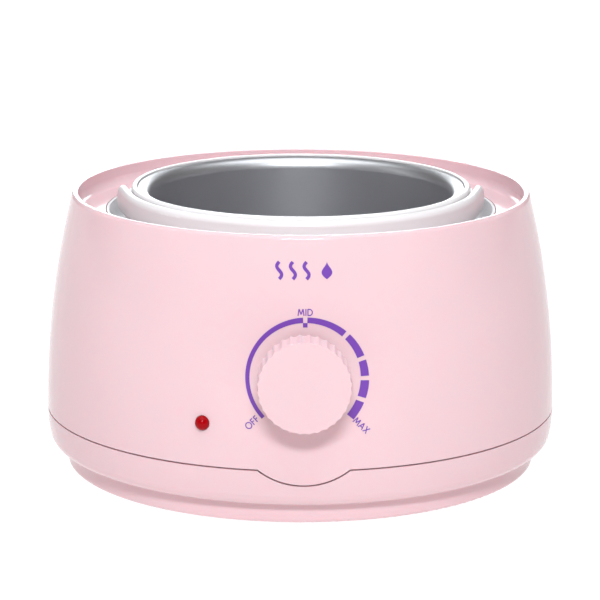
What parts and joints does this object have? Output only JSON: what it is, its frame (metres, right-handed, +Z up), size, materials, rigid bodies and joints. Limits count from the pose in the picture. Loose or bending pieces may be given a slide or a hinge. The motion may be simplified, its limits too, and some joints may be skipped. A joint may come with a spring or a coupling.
{
  "type": "wax warmer pot",
  "caption": "Electric wax warmer: a round pink casing with a fluted heat knob, a red indicator lens and a lift-out aluminium pot with a white collar and swinging handle.",
  "frame": {"origin": "on the body's axis, on the surface that the feet stand on", "axes": "+Z up, -Y towards the control knob, +Y out of the cord gland at the back, +X to the right of someone facing the knob"},
  "size_m": [0.1908, 0.2048, 0.1053],
  "materials": {
    "pink_plastic": "glossy moulded ABS",
    "knob_plastic": "glossy moulded ABS, finely fluted",
    "white_plastic": "glossy white heat-resistant plastic",
    "pot_aluminium": "satin spun aluminium",
    "well_metal": "satin pressed aluminium",
    "foot_rubber": "matt rubber",
    "seal_rubber": "silicone rubber",
    "gland_rubber": "soft plastic, pink",
    "steel": "zinc-plated steel",
    "brass": "plain",
    "heater_mica": "mica-faced heater band",
    "thermostat_ceramic": "unglazed steatite",
    "fuse_ceramic": "glazed ceramic sleeve",
    "red_lens": "clear red polycarbonate",
    "lamp_glass": "neon lamp",
    "block_plastic": "nylon",
    "wire_insulation": "fibreglass sleeving"
  },
  "bodies": {
    "housing": {"upper_housing": "pink_plastic", "base_shell": "pink_plastic", "rubber_feet": "foot_rubber", "base_screws": "steel", "heating_well": "well_metal", "well_seal": "seal_rubber", "well_clamp_ring": "steel", "well_screws": "steel", "heater_band": "heater_mica", "heater_clamp_band": "steel", "heater_clamp_bolt": "steel", "heater_terminals": "brass", "thermal_fuse": "fuse_ceramic", "fuse_clip": "steel", "thermostat_body": "thermostat_ceramic", "thermostat_plate": "steel", "thermostat_bush": "brass", "thermostat_screws": "steel", "thermostat_terminals": "brass", "thermostat_bimetal": "steel", "indicator_lens": "red_lens", "indicator_lamp": "lamp_glass", "lamp_retainer": "steel", "lamp_resistor": "fuse_ceramic", "cord_gland": "gland_rubber", "cord_clamp": "block_plastic", "clamp_screws": "steel", "terminal_block": "block_plastic", "terminal_screws": "brass", "wire_live": "wire_insulation", "wire_neutral": "wire_insulation", "wire_thermostat_fuse": "wire_insulation", "wire_fuse_heater": "wire_insulation", "lamp_leads": "wire_insulation"},
    "knob": {"control_knob": "knob_plastic", "thermostat_shaft": "steel", "knob_spring_clip": "steel"},
    "pot": {"wax_pot": "pot_aluminium", "pot_collar": "white_plastic"},
    "bail": {"bail_handle": "white_plastic"}
  },
  "joints": [
    {"name": "knob_turn", "type": "hinge", "parent": "housing", "child": "knob", "pos_m": [0, -0.1, 0.0549], "axis": [0, 1, 0], "range_deg": [0, 264]},
    {"name": "pot_lift", "type": "slide", "parent": "housing", "child": "pot", "axis": [0, 0, 1], "range_m": [0, 0.11]},
    {"name": "bail_swing", "type": "hinge", "parent": "pot", "child": "bail", "pos_m": [0, 0, 0.0995], "axis": [-1, 0, 0], "range_deg": [0, 180]}
  ]
}
